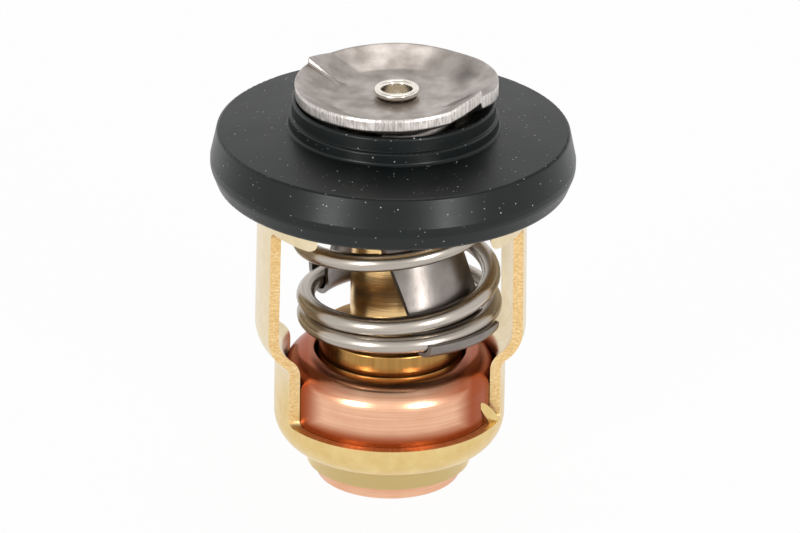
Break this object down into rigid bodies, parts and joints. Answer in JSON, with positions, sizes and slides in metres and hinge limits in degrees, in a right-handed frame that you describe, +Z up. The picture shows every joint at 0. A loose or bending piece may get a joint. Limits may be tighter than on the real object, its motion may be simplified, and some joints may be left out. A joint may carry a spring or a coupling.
{
  "type": "engine thermostat",
  "caption": "Wax-element engine thermostat: dished steel valve on a rubber flange seal, over a two-legged brass cage that holds a coil spring and a copper cup.",
  "frame": {"origin": "middle of the copper nose's end face, the lowest point", "axes": "+Z up the valve's axis towards the disc; the cage's legs lie 7 degrees counter-clockwise of +X and -X"},
  "size_m": [0.038, 0.038, 0.0458],
  "materials": {
    "brass_sheet": "bright dipped",
    "turned_brass": "turned",
    "black_rubber": "moulded",
    "copper": "turned",
    "stainless_sheet": "rolled",
    "stainless_wire": "drawn",
    "rivet_nickel": "bright",
    "white_plastic": "smooth",
    "wax": "waxy"
  },
  "bodies": {
    "housing": {"frame": "brass_sheet", "flange_plate": "brass_sheet", "seal_ring": "black_rubber", "wax_cup": "copper", "wax_charge": "wax", "diaphragm": "black_rubber", "guide_body": "turned_brass", "rubber_plug": "black_rubber", "return_spring": "stainless_wire"},
    "valve": {"valve_disc": "stainless_sheet", "centre_rivet": "rivet_nickel", "stirrup": "stainless_sheet", "piston_pin": "stainless_wire", "anti_extrusion_disc": "white_plastic"}
  },
  "joints": [
    {"name": "valve_lift", "type": "slide", "parent": "housing", "child": "valve", "axis": [0, 0, 1], "range_m": [0, 0.004], "stiffness_N_per_m": 2000, "springref_m": -0.008, "deforming": ["return_spring"]}
  ]
}
